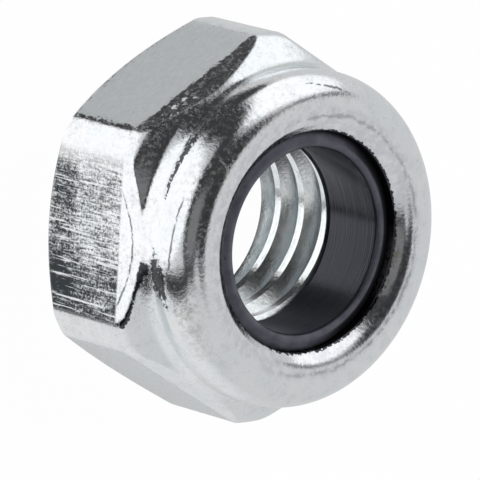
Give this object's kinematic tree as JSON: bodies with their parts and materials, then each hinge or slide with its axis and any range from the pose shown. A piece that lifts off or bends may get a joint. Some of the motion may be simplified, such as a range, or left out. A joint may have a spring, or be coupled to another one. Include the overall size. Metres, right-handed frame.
{
  "type": "nylon insert lock nut",
  "caption": "Hexagon lock nut with a round collar whose rolled rim holds a dark nylon ring above the thread.",
  "frame": {"origin": "centre of the flat bearing face", "axes": "+Z along the bore axis, from the bearing face towards the collar; +X square to a flat of the hexagon, +Y towards a corner"},
  "size_m": [0.008, 0.0088, 0.0049],
  "materials": {
    "zinc_steel": "bright zinc plate on cold-formed steel, with rubbed and scratched flats",
    "nylon": "dark slate polyamide, semi-gloss, with fine turned rings in its bore"
  },
  "bodies": {
    "root": {"nut_body": "zinc_steel", "nylon_insert": "nylon"}
  },
  "joints": []
}
